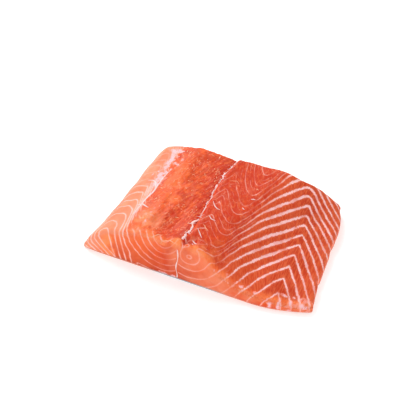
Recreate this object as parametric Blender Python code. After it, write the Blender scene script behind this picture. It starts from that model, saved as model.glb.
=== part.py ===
"""A raw salmon loin: one piece cut across a skin-on fillet, lying skin down.

Metres, +Z up. X runs across the fillet, from the back edge (-X) over the midline seam to the belly
edge (+X). Y runs along the fish, from the front cut (-Y) to the rear cut (+Y). The origin is under
the middle of the piece, on the surface that the skin lies on.
"""

import bmesh
import bpy
import numpy as np

MM = 0.001

# Driving sizes, measured from the midline seam (x = 0) and from the foot of the front cut (y = 0)
LENGTH = 0.1025  # along the fish, on the back side of the piece
LENGTH_GAIN = 0.0035  # the belly side is cut this much longer
SKIN_THICKNESS = 0.0010
SKIN_GAP = 0.0003  # between the skin and the flesh
DORSAL_EDGE = -0.0686  # back edge of the piece, away from its flared front tip
DORSAL_FLARE = -0.0118
DORSAL_FLARE_REACH = 0.020
BELLY_EDGE = 0.0905
BELLY_FLARE = 0.0056
BELLY_FLARE_REACH = 0.013
BELLY_TRIM = 0.0045  # how far the belly edge draws in at the rear corner
BELLY_TRIM_START = 0.085
FRONT_SWEEP = 0.0078  # how far the front cut runs back at the belly tip
FRONT_SWEEP_START = 0.050
FRONT_LEAN = 0.15  # the cut faces lean in by this share of their height
FRONT_LEAN_REACH = 0.026
REAR_LEAN = 0.07
FACE_BULGE = 0.0012
EDGE_RADIUS = 0.0026  # soft edges round the flesh side
EDGE_SHARE = 0.55  # of the thickness, where that is less than the radius allows
BACK_CORNER = 0.045  # plan corners, as shares of the half width and half length
BELLY_CORNER = 0.022
SEAM_CROWDING = 0.35  # how much closer the mesh columns lie beside the seam

# Cross section of the flesh side: station, x and height at the front cut, x and height at the rear
SECTION = (
    ("back rim", -77.0, 6.4, -68.6, 7.4),
    ("back flank", -70.2, 14.6, -62.5, 16.6),
    ("shoulder", -60.5, 21.6, -54.5, 25.8),
    ("white band", -47.0, 26.4, -42.0, 31.0),
    ("loin crest", -29.5, 31.2, -27.0, 34.6),
    ("loin hollow", -17.0, 29.8, -15.0, 33.8),
    ("midline", 0.0, 32.0, 0.0, 32.4),
    ("belly shoulder", 13.0, 30.0, 38.0, 32.0),
    ("belly slope", 24.5, 18.8, 61.5, 26.4),
    ("belly flap", 44.0, 11.0, 76.0, 18.0),
    ("belly rim", 94.0, 6.4, 87.5, 9.8),
)
STATIONS = np.array([row[1:] for row in SECTION]) * MM

# Underside
BACK_CURL = 0.0011  # the back rim lifts off the table by this much
BACK_CURL_WIDTH = 0.018
TIP_CURL = 0.0007  # so does the belly tip at the front cut
TIP_CURL_REACH = 0.040

# Midline seam and the torn flesh beside it
SEAM_DEPTH = 0.0026
SEAM_BANK = 0.0042  # width of the slope on the back side of the seam
SEAM_LIP = 0.0013  # width of the raised lip on its belly side
SEAM_LIP_HEIGHT = 0.0007
# Name, x, y, radius across, radius along, height (a hollow is negative)
LUMPS = (
    ("pit at the front of the seam", 3.2, 8.6, 4.2, 3.6, -4.8),
    ("knob beside the pit", -4.6, 5.4, 3.4, 3.2, 1.6),
    ("round muscle under the pit", 10.5, 5.5, 6.0, 5.0, 1.2),
    ("torn hollow of the loin", -14.0, 26.0, 8.5, 15.0, -1.7),
    ("rear hollow of the loin", -9.0, 66.0, 9.0, 18.0, -1.0),
    ("frayed lobe", -33.0, 16.5, 6.0, 6.5, 1.7),
    ("tear behind the lobe", -26.5, 19.0, 2.6, 8.0, -1.8),
    ("tear in the loin", -26.5, 37.0, 2.8, 5.0, -1.4),
    ("flake of the loin", -21.0, 43.0, 6.0, 6.0, 0.9),
    ("rear flake of the loin", -30.0, 74.0, 7.0, 11.0, 0.8),
    ("dip beside the white band", -39.0, 52.0, 3.0, 22.0, -0.6),
    ("valley in front of the belly", 21.0, 15.0, 6.5, 9.0, -1.3),
    ("swell of the belly shoulder", 28.0, 56.0, 14.0, 24.0, 0.8),
)
WAVE_HEIGHT = 0.00035  # slow unevenness of the whole flesh side
NICKS = ((31.0, 2.6, 1.6), (66.0, 4.0, 0.7))  # of the belly edge: y, half width, depth

# Mesh divisions
COLUMNS_DORSAL = 24
COLUMNS_BELLY = 27
ROWS = 28
LAYERS = 4
EDGE_STEPS = 3  # rows or columns in each rounded edge
SKIN_COLUMNS_DORSAL = 15
SKIN_COLUMNS_BELLY = 15
SKIN_ROWS = 18

FLESH_COLOUR = (0.78, 0.19, 0.085, 1.0)
SKIN_COLOUR = (0.34, 0.36, 0.38, 1.0)


def ease(value, start, end):
    """Smooth step from 0 at start to 1 at end."""
    t = np.clip((value - start) / (end - start), 0.0, 1.0)
    return t * t * (3.0 - 2.0 * t)


def back_edge(y):
    return DORSAL_EDGE + DORSAL_FLARE * np.exp(-(y + 2 * MM) / DORSAL_FLARE_REACH)


def belly_edge(y):
    edge = BELLY_EDGE + BELLY_FLARE * np.exp(-y / BELLY_FLARE_REACH)
    edge -= BELLY_TRIM * np.clip((y - BELLY_TRIM_START) / (LENGTH - BELLY_TRIM_START), 0, 1) ** 2
    for middle, half_width, depth in NICKS:
        edge -= depth * MM * np.exp(-(((y - middle * MM) / (half_width * MM)) ** 2))
    return edge


def front_cut(x):
    reach = BELLY_EDGE - FRONT_SWEEP_START
    return FRONT_SWEEP * np.clip((x - FRONT_SWEEP_START) / reach, 0, 1.1) ** 2


def rear_cut(x):
    return LENGTH + LENGTH_GAIN * ease(x, DORSAL_EDGE, BELLY_EDGE) + 0.5 * MM * np.sin(x * 90.0)


def section_height(x, y):
    """Thickness of the piece: a smooth curve through the stations at this y."""
    share = np.clip(y / LENGTH, 0.0, 1.0)
    xs = STATIONS[:, 0, None] + (STATIONS[:, 2] - STATIONS[:, 0])[:, None] * share
    zs = STATIONS[:, 1, None] + (STATIONS[:, 3] - STATIONS[:, 1])[:, None] * share
    width = np.diff(xs, axis=0)
    slope = np.diff(zs, axis=0) / width
    turn = slope[:-1] * slope[1:]
    blend = np.where(turn > 0, 2 * turn / np.where(turn > 0, slope[:-1] + slope[1:], 1.0), 0.0)
    tangent = np.vstack([slope[:1], blend, slope[-1:]])
    height = np.array(zs[0])
    for k in range(len(xs) - 1):
        t = np.clip((x - xs[k]) / width[k], 0.0, 1.0)
        rise = (zs[k] * (1 + 2 * t) + tangent[k] * width[k] * t) * (1 - t) ** 2
        rise += (zs[k + 1] * (3 - 2 * t) - tangent[k + 1] * width[k] * (1 - t)) * t * t
        height = np.where(x >= xs[k], rise, height)
    return height


def relief(x, y):
    """The seam's groove, the torn places and the slow waves of the flesh side."""
    bank = -SEAM_DEPTH * np.exp(-np.abs(x) / np.where(x < 0, SEAM_BANK, SEAM_LIP))
    lip = SEAM_LIP_HEIGHT * np.exp(-(((x - 2.5 * SEAM_LIP) / (1.6 * SEAM_LIP)) ** 2))
    total = bank + lip
    for _, middle_x, middle_y, across, along, height in LUMPS:
        reach = ((x / MM - middle_x) / across) ** 2 + ((y / MM - middle_y) / along) ** 2
        total += height * MM * np.exp(-reach)
    waves = np.sin(x * 210 + 1.3 * np.sin(y * 95)) + np.sin(y * 260 + 1.7 * np.sin(x * 120) + 2.0)
    return total + WAVE_HEIGHT * waves


def underside(x, y):
    """Height of the skin's lower face: flat, with the back rim and the belly tip curled up."""
    curl = BACK_CURL * ease(DORSAL_EDGE - x, -0.3 * BACK_CURL_WIDTH, 0.7 * BACK_CURL_WIDTH)
    across = ease(x, BELLY_EDGE - TIP_CURL_REACH, BELLY_EDGE)
    along = 1.0 - ease(y, 0.0, TIP_CURL_REACH)
    return curl + TIP_CURL * across * along


def round_corners(across, along):
    """Draw the corners of the square -1..1 in to quarter circles."""
    share = np.where(across < 0, BACK_CORNER, BELLY_CORNER)
    inner = [np.clip((np.abs(v) - 1 + share) / share, 0, 1) for v in (across, along)]
    diagonal = np.maximum(np.hypot(*inner), 1e-9)
    draw = np.maximum(*inner) / diagonal
    return [
        np.where(part > 0, np.sign(v) * (1 - share + share * part * draw), v)
        for v, part in zip((across, along), inner)
    ]


def plan(column, row):
    """Plan position for column -1..1 (0 on the seam) and row 0..1."""
    across, along = round_corners(column, 2 * row - 1)
    along = (along + 1) / 2
    y = along * LENGTH
    for _ in range(3):
        x = np.where(across < 0, -across * back_edge(y), across * belly_edge(y))
        y = front_cut(x) + (rear_cut(x) - front_cut(x)) * along
    return x, y


def spacing(count, radius, length, crowding=0.0):
    """Shares of a length: close together where its end is rounded, and by crowding at the far end."""
    angle = np.arange(EDGE_STEPS) / EDGE_STEPS * np.pi / 2
    rounded = radius * (1 - np.cos(angle)) / length
    even = np.linspace(0.0, 1.0, count - EDGE_STEPS + 1)
    crowded = even + crowding * np.sin(np.pi * even) / np.pi
    return np.concatenate([rounded, radius / length + (1 - radius / length) * crowded])


def flesh_grid(column, row, layer, columns, rows):
    """Maps even shares 0..1 of the gridded box to the flesh."""
    dorsal = spacing(columns[0], EDGE_RADIUS, -DORSAL_EDGE, SEAM_CROWDING) - 1
    belly = 1 - spacing(columns[1], EDGE_RADIUS, BELLY_EDGE, SEAM_CROWDING)[::-1]
    places = np.concatenate([dorsal, belly[1:]])
    across = np.interp(column * sum(columns), np.arange(sum(columns) + 1), places)
    half = rows // 2
    first = spacing(half, EDGE_RADIUS, LENGTH / 2) / 2
    along = np.concatenate([first, 1 - first[::-1][1:]])
    along = np.interp(row * rows, np.arange(rows + 1), along)
    x, y = plan(across, along)
    full = section_height(x, y) + relief(x, y)
    base = underside(x, y) + SKIN_THICKNESS + SKIN_GAP
    radius = np.minimum(EDGE_RADIUS, EDGE_SHARE * full)
    gaps = (x - back_edge(y), belly_edge(y) - x, y - front_cut(x), rear_cut(x) - y)
    near = [np.clip(1 - gap / radius, 0, 1) ** 2 for gap in gaps]
    drop = radius * (1 - np.sqrt(np.clip(1 - sum(near), 0, 1)))
    z = base + (full - drop - base) * layer
    bulge = FACE_BULGE * np.sin(np.pi * np.clip(z / full, 0, 1))
    from_front = np.clip(1 - gaps[2] / FRONT_LEAN_REACH, 0, 1)
    from_rear = np.clip(1 - gaps[3] / FRONT_LEAN_REACH, 0, 1)
    y = y + FRONT_LEAN * z * from_front - REAR_LEAN * z * from_rear
    y = y + bulge * (np.where(gaps[3] < 1e-6, 1, 0) - np.where(gaps[2] < 1e-6, 1, 0))
    return x, y, z


def skin_grid(column, row, layer, columns, rows):
    """Maps even shares 0..1 of the gridded box to the skin."""
    steps = sum(columns)
    places = np.concatenate([np.linspace(-1, 0, columns[0] + 1), np.linspace(0, 1, columns[1] + 1)[1:]])
    across = np.interp(column * steps, np.arange(steps + 1), places)
    x, y = plan(across, row)
    return x, y, underside(x, y) + SKIN_THICKNESS * layer


def gridded_box(columns, rows, layers):
    """A unit cube from 0 to 1, cut into even cells along each axis."""
    mesh = bmesh.new()
    bmesh.ops.create_cube(mesh, size=1.0)
    bmesh.ops.translate(mesh, vec=(0.5, 0.5, 0.5), verts=mesh.verts)
    for axis, count in enumerate((columns, rows, layers)):
        along = [e for e in mesh.edges if abs(e.verts[0].co[axis] - e.verts[1].co[axis]) > 0.5]
        if count > 1:
            bmesh.ops.subdivide_edges(mesh, edges=along, cuts=count - 1, use_grid_fill=True)
    return mesh


def shaped_box(name, placer, columns, rows, layers, material, collection):
    grid = gridded_box(sum(columns), rows, layers)
    data = bpy.data.meshes.new(name)
    grid.to_mesh(data)
    grid.free()
    points = np.empty(len(data.vertices) * 3)
    data.vertices.foreach_get("co", points)
    column, row, layer = points.reshape(-1, 3).T
    points = np.stack(placer(column, row, layer, columns, rows), axis=1)
    data.vertices.foreach_set("co", points.ravel())
    data.update()
    data.shade_smooth()
    data.set_sharp_from_angle(angle=np.radians(50))
    data.materials.append(material)
    body = bpy.data.objects.new(name, data)
    collection.objects.link(body)
    return body


def finish(name, colour, roughness):
    material = bpy.data.materials.new(name)
    material.use_nodes = True
    shader = material.node_tree.nodes["Principled BSDF"]
    shader.inputs["Base Color"].default_value = colour
    shader.inputs["Roughness"].default_value = roughness
    shader.inputs["Metallic"].default_value = 0.0
    return material


def centre_on_floor(bodies):
    """Shift the meshes together so that their box stands on the origin."""
    points = np.array([v.co for body in bodies for v in body.data.vertices])
    low = points.min(axis=0)
    high = points.max(axis=0)
    shift = (-(low[0] + high[0]) / 2, -(low[1] + high[1]) / 2, -low[2])
    for body in bodies:
        for vertex in body.data.vertices:
            vertex.co = [value + step for value, step in zip(vertex.co, shift)]


def build():
    for old in list(bpy.data.objects):
        bpy.data.objects.remove(old, do_unlink=True)
    collection = bpy.data.collections.new("salmon_loin")
    bpy.context.scene.collection.children.link(collection)
    flesh = shaped_box(
        "salmon_flesh", flesh_grid, (COLUMNS_DORSAL, COLUMNS_BELLY), ROWS, LAYERS,
        finish("raw_salmon_flesh", FLESH_COLOUR, 0.32), collection,
    )
    skin = shaped_box(
        "salmon_skin", skin_grid, (SKIN_COLUMNS_DORSAL, SKIN_COLUMNS_BELLY), SKIN_ROWS, 1,
        finish("silver_fish_skin", SKIN_COLOUR, 0.35), collection,
    )
    centre_on_floor((flesh, skin))


build()
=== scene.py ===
# %% [markdown]
# A raw salmon loin, cut across a skin-on fillet and laid skin down. This lesson builds its looks around
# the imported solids: the flesh with its pale fat lines, the torn loin beside the midline seam, the white
# membranes and the silver skin. The solids stay where they are. Each finer piece takes the place of one
# of them, in the same frame, in metres, with +Z up.

import bmesh
import bpy
import numpy as np
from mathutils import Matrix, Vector
from mathutils.bvhtree import BVHTree


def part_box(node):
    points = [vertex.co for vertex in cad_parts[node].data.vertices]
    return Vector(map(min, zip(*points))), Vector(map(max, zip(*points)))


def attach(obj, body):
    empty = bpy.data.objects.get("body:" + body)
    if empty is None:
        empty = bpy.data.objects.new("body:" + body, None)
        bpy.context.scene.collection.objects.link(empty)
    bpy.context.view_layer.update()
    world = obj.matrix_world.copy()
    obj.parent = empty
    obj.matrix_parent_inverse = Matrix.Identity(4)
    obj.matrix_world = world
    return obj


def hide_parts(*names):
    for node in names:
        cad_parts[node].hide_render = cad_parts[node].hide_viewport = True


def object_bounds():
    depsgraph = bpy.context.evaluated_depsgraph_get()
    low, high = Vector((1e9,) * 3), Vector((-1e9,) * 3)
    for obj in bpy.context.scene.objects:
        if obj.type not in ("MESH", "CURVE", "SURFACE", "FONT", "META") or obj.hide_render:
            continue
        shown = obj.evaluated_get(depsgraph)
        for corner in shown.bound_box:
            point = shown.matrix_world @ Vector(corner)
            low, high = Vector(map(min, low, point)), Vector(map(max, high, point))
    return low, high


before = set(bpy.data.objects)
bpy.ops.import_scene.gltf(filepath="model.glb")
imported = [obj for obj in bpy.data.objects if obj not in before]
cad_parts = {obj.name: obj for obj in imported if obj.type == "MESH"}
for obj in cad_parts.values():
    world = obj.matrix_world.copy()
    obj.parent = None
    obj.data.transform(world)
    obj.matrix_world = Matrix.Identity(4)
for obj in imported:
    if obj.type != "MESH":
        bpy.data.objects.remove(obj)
cad_low, cad_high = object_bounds()
print("solids:", sorted(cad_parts), "box in mm:", [round(1000 * v, 1) for v in cad_high - cad_low])

# %% [markdown]
# The piece is drawn from its midline seam: x is measured from the seam, y from the foot of the front
# cut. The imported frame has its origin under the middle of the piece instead, so one shift joins the two.

# %% Places and sizes
MM = 0.001
CM = 0.01
SEAM_PLACE = np.array([-0.00741, -0.05338, 0.0])  # the seam's foot at the front cut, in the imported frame
flesh_low, flesh_high = (np.array(corner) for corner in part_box("salmon_flesh"))
print("flesh solid in mm:", np.round((flesh_high - flesh_low) * 1000, 1))

# %% [markdown]
# The outline is the one that the solids have: a square plan whose edges are smooth functions, a cross
# section through a few named stations, and the hollows and swellings of a hand-cut piece. The same
# named sizes give the same form here, only on a mesh fine enough to carry fat lines and fibres.

# %% Outline of the piece
LENGTH = 0.1025  # along the fish, on the back side of the piece
LENGTH_GAIN = 0.0035  # the belly side is cut this much longer
SKIN_THICKNESS = 0.0010
SKIN_GAP = 0.0003
DORSAL_EDGE = -0.0686
DORSAL_FLARE = -0.0118
DORSAL_FLARE_REACH = 0.020
BELLY_EDGE = 0.0905
BELLY_FLARE = 0.0056
BELLY_FLARE_REACH = 0.013
BELLY_TRIM = 0.0045
BELLY_TRIM_START = 0.085
FRONT_SWEEP = 0.0078
FRONT_SWEEP_START = 0.050
FRONT_LEAN = 0.15
FRONT_LEAN_REACH = 0.026
REAR_LEAN = 0.07
FACE_BULGE = 0.0012
EDGE_RADIUS = 0.0026
EDGE_SHARE = 0.55
BACK_CORNER = 0.045
BELLY_CORNER = 0.022
SEAM_CROWDING = 0.35
BACK_CURL = 0.0011
BACK_CURL_WIDTH = 0.018
TIP_CURL = 0.0007
TIP_CURL_REACH = 0.040
NICKS = ((31.0, 2.6, 1.6), (66.0, 4.0, 0.7))  # of the belly edge: y, half width, depth in mm


def ease(value, start, end):
    """Smooth step from 0 at start to 1 at end."""
    t = np.clip((value - start) / (end - start), 0.0, 1.0)
    return t * t * (3.0 - 2.0 * t)


def hump(value, middle, width):
    """A soft bell of height 1."""
    return np.exp(-(((value - middle) / width) ** 2))


def back_edge(y):
    return DORSAL_EDGE + DORSAL_FLARE * np.exp(-(y + 2 * MM) / DORSAL_FLARE_REACH)


def belly_edge(y):
    edge = BELLY_EDGE + BELLY_FLARE * np.exp(-y / BELLY_FLARE_REACH)
    edge -= BELLY_TRIM * np.clip((y - BELLY_TRIM_START) / (LENGTH - BELLY_TRIM_START), 0, 1) ** 2
    for middle, half_width, depth in NICKS:
        edge -= depth * MM * hump(y, middle * MM, half_width * MM)
    return edge


def front_cut(x):
    reach = BELLY_EDGE - FRONT_SWEEP_START
    return FRONT_SWEEP * np.clip((x - FRONT_SWEEP_START) / reach, 0, 1.1) ** 2


def rear_cut(x):
    return LENGTH + LENGTH_GAIN * ease(x, DORSAL_EDGE, BELLY_EDGE) + 0.5 * MM * np.sin(x * 90.0)


def underside(x, y):
    """Height of the skin's lower face."""
    curl = BACK_CURL * ease(DORSAL_EDGE - x, -0.3 * BACK_CURL_WIDTH, 0.7 * BACK_CURL_WIDTH)
    across = ease(x, BELLY_EDGE - TIP_CURL_REACH, BELLY_EDGE)
    return curl + TIP_CURL * across * (1.0 - ease(y, 0.0, TIP_CURL_REACH))


widths = [belly_edge(y) - back_edge(y) for y in (0, LENGTH)]
print("width at the front and rear cut in mm:", np.round(np.array(widths) / MM, 1))

# %% Cross section
# station, x and height at the front cut, x and height at the rear, in mm
SECTION = (
    ("back rim", -77.0, 6.4, -68.6, 7.4),
    ("back flank", -70.2, 14.6, -62.5, 16.6),
    ("shoulder", -60.5, 21.6, -54.5, 25.8),
    ("white band", -47.0, 26.4, -42.0, 31.0),
    ("loin crest", -29.5, 31.2, -27.0, 34.6),
    ("loin hollow", -17.0, 29.8, -15.0, 33.8),
    ("midline", 0.0, 32.0, 0.0, 32.4),
    ("belly shoulder", 13.0, 30.0, 38.0, 32.0),
    ("belly slope", 24.5, 18.8, 61.5, 26.4),
    ("belly flap", 44.0, 11.0, 76.0, 18.0),
    ("belly rim", 94.0, 6.4, 87.5, 9.8),
)
STATIONS = np.array([row[1:] for row in SECTION]) * MM


def section_height(x, y):
    """Thickness of the piece: a smooth curve through the stations at this y."""
    share = np.clip(y / LENGTH, 0.0, 1.0)
    xs = STATIONS[:, 0, None] + (STATIONS[:, 2] - STATIONS[:, 0])[:, None] * share
    zs = STATIONS[:, 1, None] + (STATIONS[:, 3] - STATIONS[:, 1])[:, None] * share
    width = np.diff(xs, axis=0)
    slope = np.diff(zs, axis=0) / width
    turn = slope[:-1] * slope[1:]
    blend = np.where(turn > 0, 2 * turn / np.where(turn > 0, slope[:-1] + slope[1:], 1.0), 0.0)
    tangent = np.vstack([slope[:1], blend, slope[-1:]])
    height = np.array(zs[0])
    for k in range(len(xs) - 1):
        t = np.clip((x - xs[k]) / width[k], 0.0, 1.0)
        rise = (zs[k] * (1 + 2 * t) + tangent[k] * width[k] * t) * (1 - t) ** 2
        rise += (zs[k + 1] * (3 - 2 * t) - tangent[k + 1] * width[k] * (1 - t)) * t * t
        height = np.where(x >= xs[k], rise, height)
    return height


print("height over the seam in mm:", round(float(section_height(np.zeros(1), np.zeros(1))[0] * 1000), 1))

# %% Hollows and swellings
SEAM_DEPTH = 0.0026
SEAM_BANK = 0.0042
SEAM_LIP = 0.0013
SEAM_LIP_HEIGHT = 0.0007
# name, x, y, radius across, radius along, height in mm
LUMPS = (
    ("pit at the front of the seam", 3.2, 8.6, 4.2, 3.6, -4.8),
    ("knob beside the pit", -4.6, 5.4, 3.4, 3.2, 1.6),
    ("round muscle under the pit", 10.5, 5.5, 6.0, 5.0, 1.2),
    ("torn hollow of the loin", -14.0, 26.0, 8.5, 15.0, -1.7),
    ("rear hollow of the loin", -9.0, 66.0, 9.0, 18.0, -1.0),
    ("frayed lobe", -33.0, 16.5, 6.0, 6.5, 1.7),
    ("tear behind the lobe", -26.5, 19.0, 2.6, 8.0, -1.8),
    ("tear in the loin", -26.5, 37.0, 2.8, 5.0, -1.4),
    ("flake of the loin", -21.0, 43.0, 6.0, 6.0, 0.9),
    ("rear flake of the loin", -30.0, 74.0, 7.0, 11.0, 0.8),
    ("dip beside the white band", -39.0, 52.0, 3.0, 22.0, -0.6),
    ("valley in front of the belly", 21.0, 15.0, 6.5, 9.0, -1.3),
    ("swell of the belly shoulder", 28.0, 56.0, 14.0, 24.0, 0.8),
)
WAVE_HEIGHT = 0.00035


def soft_spot(x, y, middle_x, middle_y, across, along):
    """A soft oval of height 1, with every length in mm."""
    return np.exp(-(((x - middle_x) / across) ** 2) - ((y - middle_y) / along) ** 2)


def relief(x, y):
    """The seam's groove, the torn places and the slow waves of the flesh side."""
    bank = -SEAM_DEPTH * np.exp(-np.abs(x) / np.where(x < 0, SEAM_BANK, SEAM_LIP))
    total = bank + SEAM_LIP_HEIGHT * hump(x, 2.5 * SEAM_LIP, 1.6 * SEAM_LIP)
    for _, *place, height in LUMPS:
        total += height * MM * soft_spot(x / MM, y / MM, *place)
    waves = np.sin(x * 210 + 1.3 * np.sin(y * 95)) + np.sin(y * 260 + 1.7 * np.sin(x * 120) + 2.0)
    return total + WAVE_HEIGHT * waves


print("deepest hollow in mm:", min(lump[-1] for lump in LUMPS))

# %% [markdown]
# A cube is the simplest closed body, so the flesh starts as one: cut into even cells, its points are
# shares from 0 to 1 along the three axes, and one function moves each share to its place in the piece.
# The underside hides between flesh and skin. Its cells are merged in blocks, so that the faces go where
# they show.

# %% The gridded cube
EDGE_STEPS = 6  # rows or columns in each rounded edge
HIDDEN_BLOCK = 8  # cells of a hidden side that are merged to one, along and across


def gridded_box(columns, rows, layers, hidden):
    """A unit cube in even cells, with the cells of its hidden side (z = hidden) merged in blocks."""
    grid = bmesh.new()
    bmesh.ops.create_cube(grid, size=1.0)
    bmesh.ops.translate(grid, vec=(0.5, 0.5, 0.5), verts=grid.verts)
    counts = (columns, rows, layers)
    for axis, count in enumerate(counts):
        along = [e for e in grid.edges if abs(e.verts[0].co[axis] - e.verts[1].co[axis]) > 0.5]
        if count > 1:
            bmesh.ops.subdivide_edges(grid, edges=along, cuts=count - 1, use_grid_fill=True)
    merged = []
    for edge in grid.edges:
        ends = [v.co for v in edge.verts]
        if any(abs(end.z - hidden) > 1e-4 for end in ends):
            continue
        axis = 0 if abs(ends[0].x - ends[1].x) < 1e-6 else 1
        line = round(ends[0][axis] * counts[axis])
        if 0 < line < counts[axis] and line % HIDDEN_BLOCK:
            merged.append(edge)
    bmesh.ops.dissolve_edges(grid, edges=merged, use_verts=True)
    return grid


def gridded_mesh(name, columns, rows, layers, hidden):
    """A mesh of the gridded cube, with the shares of its points."""
    grid = gridded_box(columns, rows, layers, hidden)
    mesh = bpy.data.meshes.new(name)
    grid.to_mesh(mesh)
    grid.free()
    return mesh, point_values(mesh.vertices, "co")


def point_values(items, field):
    """A field of three numbers for each item, as an array (n, 3)."""
    values = np.empty(len(items) * 3)
    items.foreach_get(field, values)
    return values.reshape(-1, 3)


def round_corners(across, along):
    """Draw the corners of the square -1..1 in to quarter circles."""
    share = np.where(across < 0, BACK_CORNER, BELLY_CORNER)
    inner = [np.clip((np.abs(v) - 1 + share) / share, 0, 1) for v in (across, along)]
    diagonal = np.maximum(np.hypot(*inner), 1e-9)
    draw = np.maximum(*inner) / diagonal
    return [
        np.where(part > 0, np.sign(v) * (1 - share + share * part * draw), v)
        for v, part in zip((across, along), inner)
    ]


def plan(column, row):
    """Plan position for column -1..1 (0 on the seam) and row 0..1."""
    across, along = round_corners(column, 2 * row - 1)
    along = (along + 1) / 2
    y = along * LENGTH
    for _ in range(3):
        x = np.where(across < 0, -across * back_edge(y), across * belly_edge(y))
        y = front_cut(x) + (rear_cut(x) - front_cut(x)) * along
    return x, y


def spacing(count, radius, length, crowding=0.0):
    """Shares of a length: close together where its end is rounded, and by crowding at the far end."""
    angle = np.arange(EDGE_STEPS) / EDGE_STEPS * np.pi / 2
    rounded = radius * (1 - np.cos(angle)) / length
    even = np.linspace(0.0, 1.0, count - EDGE_STEPS + 1)
    crowded = even + crowding * np.sin(np.pi * even) / np.pi
    return np.concatenate([rounded, radius / length + (1 - radius / length) * crowded])


def flesh_place(column, row, layer, columns, rows):
    """Where a share of the cube lies in the flesh."""
    dorsal = spacing(columns[0], EDGE_RADIUS, -DORSAL_EDGE, SEAM_CROWDING) - 1
    belly = 1 - spacing(columns[1], EDGE_RADIUS, BELLY_EDGE, SEAM_CROWDING)[::-1]
    places = np.concatenate([dorsal, belly[1:]])
    across = np.interp(column * sum(columns), np.arange(sum(columns) + 1), places)
    first = spacing(rows // 2, EDGE_RADIUS, LENGTH / 2) / 2
    along = np.concatenate([first, 1 - first[::-1][1:]])
    along = np.interp(row * rows, np.arange(rows + 1), along)
    x, y = plan(across, along)
    full = section_height(x, y) + relief(x, y)
    base = underside(x, y) + SKIN_THICKNESS + SKIN_GAP
    radius = np.minimum(EDGE_RADIUS, EDGE_SHARE * full)
    gaps = (x - back_edge(y), belly_edge(y) - x, y - front_cut(x), rear_cut(x) - y)
    near = [np.clip(1 - gap / radius, 0, 1) ** 2 for gap in gaps]
    drop = radius * (1 - np.sqrt(np.clip(1 - sum(near), 0, 1)))
    z = base + (full - drop - base) * layer
    bulge = FACE_BULGE * np.sin(np.pi * np.clip(z / full, 0, 1))
    from_front = np.clip(1 - gaps[2] / FRONT_LEAN_REACH, 0, 1)
    from_rear = np.clip(1 - gaps[3] / FRONT_LEAN_REACH, 0, 1)
    y = y + FRONT_LEAN * z * from_front - REAR_LEAN * z * from_rear
    y = y + bulge * (np.where(gaps[3] < 1e-6, 1, 0) - np.where(gaps[2] < 1e-6, 1, 0))
    return np.stack([x, y, z], axis=1)


# %% The flesh as a bare form
FLESH_COLUMNS = (128, 150)  # from the back edge to the seam, and from the seam to the belly edge
FLESH_ROWS = 176
FLESH_LAYERS = 30

flesh_mesh, shares = gridded_mesh("flesh", sum(FLESH_COLUMNS), FLESH_ROWS, FLESH_LAYERS, hidden=0.0)
seam_points = flesh_place(*shares.T, FLESH_COLUMNS, FLESH_ROWS)
flesh_mesh.vertices.foreach_set("co", (seam_points + SEAM_PLACE).ravel())
flesh_mesh.update()
normals = point_values(flesh_mesh.vertex_normals, "vector")
print("flesh:", len(flesh_mesh.vertices), "points")

# %% [markdown]
# Flesh is never even. Smooth noise drives its small unevenness: how the fat sheets stray, where the loin
# is torn, how a patch of membrane frays. Blender has noise in its textures, but a few lines of numpy give
# it to every point of the mesh at once, from a seeded table, so the piece is always the same.

# %% Smooth noise for the mesh
def noise(seed, points, size):
    """Smooth noise from -1 to 1 on points (n, 3), with features of the given size on each axis."""
    table = np.random.default_rng(seed).uniform(-1, 1, (64, 64, 64))
    places = points / np.asarray(size) + 137.0
    low = np.floor(places).astype(int)
    t = places - low
    t = t * t * (3 - 2 * t)
    total = np.zeros(len(points))
    for corner in range(8):
        step = np.array([corner & 1, corner >> 1 & 1, corner >> 2 & 1])
        weight = np.prod(np.where(step, t, 1 - t), axis=1)
        total += weight * table[tuple(((low + step) % 64).T)]
    return total


def rough_noise(seed, points, size, octaves=3):
    """Noise with finer noise on top, each octave half the size and just over half the height."""
    total = np.zeros(len(points))
    height = 1.0
    for octave in range(octaves):
        total += height * noise(seed + octave, points, np.asarray(size) / 2**octave)
        height *= 0.55
    return total


points_mm = seam_points / MM


def patchy(seed, size):
    """Rough noise on the flesh's points, with features of the given size in mm."""
    return rough_noise(seed, points_mm, size)


sample = noise(1, points_mm, 3.0)
print("noise spans:", np.round([sample.min(), sample.max()], 2))

# %% [markdown]
# Which part of the fish a point belongs to decides its lines, colour and texture. These masks go from 0
# to 1: the torn loin between the white band and the seam, the smooth back slope, the plain flesh beside
# the seam, the striped belly with its frayed tip, and the cut faces. They are worked out in centimetres.

# %% Regions of the piece
CM_TO_MM = 10
SEAM_PULL = 1.3  # cm on either side of the seam that its bends take along
place_x, y, z = (seam_points / CM).T
x = place_x + 0.3 * (1 - ease(y, 1.0, 2.6)) * hump(place_x, 0, SEAM_PULL)  # from the seam, which bends
up = ease(normals[:, 2], 0.15, 0.6)  # the flesh side, as against the cut faces and flanks
cut_face = ease(np.abs(normals[:, 1]), 0.45, 0.85)
band_middle = -4.62 + 0.055 * y + 0.08 * noise(11, points_mm, (60, 11, 60))
band_middle += 0.05 * noise(19, points_mm, (60, 4, 60))
from_band = x - band_middle
front_gap = y - FRONT_LEAN * z - front_cut(seam_points[:, 0]) / CM  # how far behind the front cut's top edge
loin = up * ease(from_band, -0.05, 0.35) * (1 - ease(x, -0.10, 0.15)) * ease(front_gap, 0.05, 0.5)
back_slope = ease(-from_band, -0.1, 0.1) * (1 - cut_face)
plain_start = 2.2 + 0.16 * y
beside = up * ease(x, 0.05, 0.3) * (1 - ease(x, plain_start, plain_start + 1.3)) * ease(front_gap, 0.0, 0.5)
striped = ease(x, plain_start, plain_start + 1.3)
tip = ease(x, 6.9, 8.8) * (1 - ease(front_gap, 0.0, 1.1))
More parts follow.
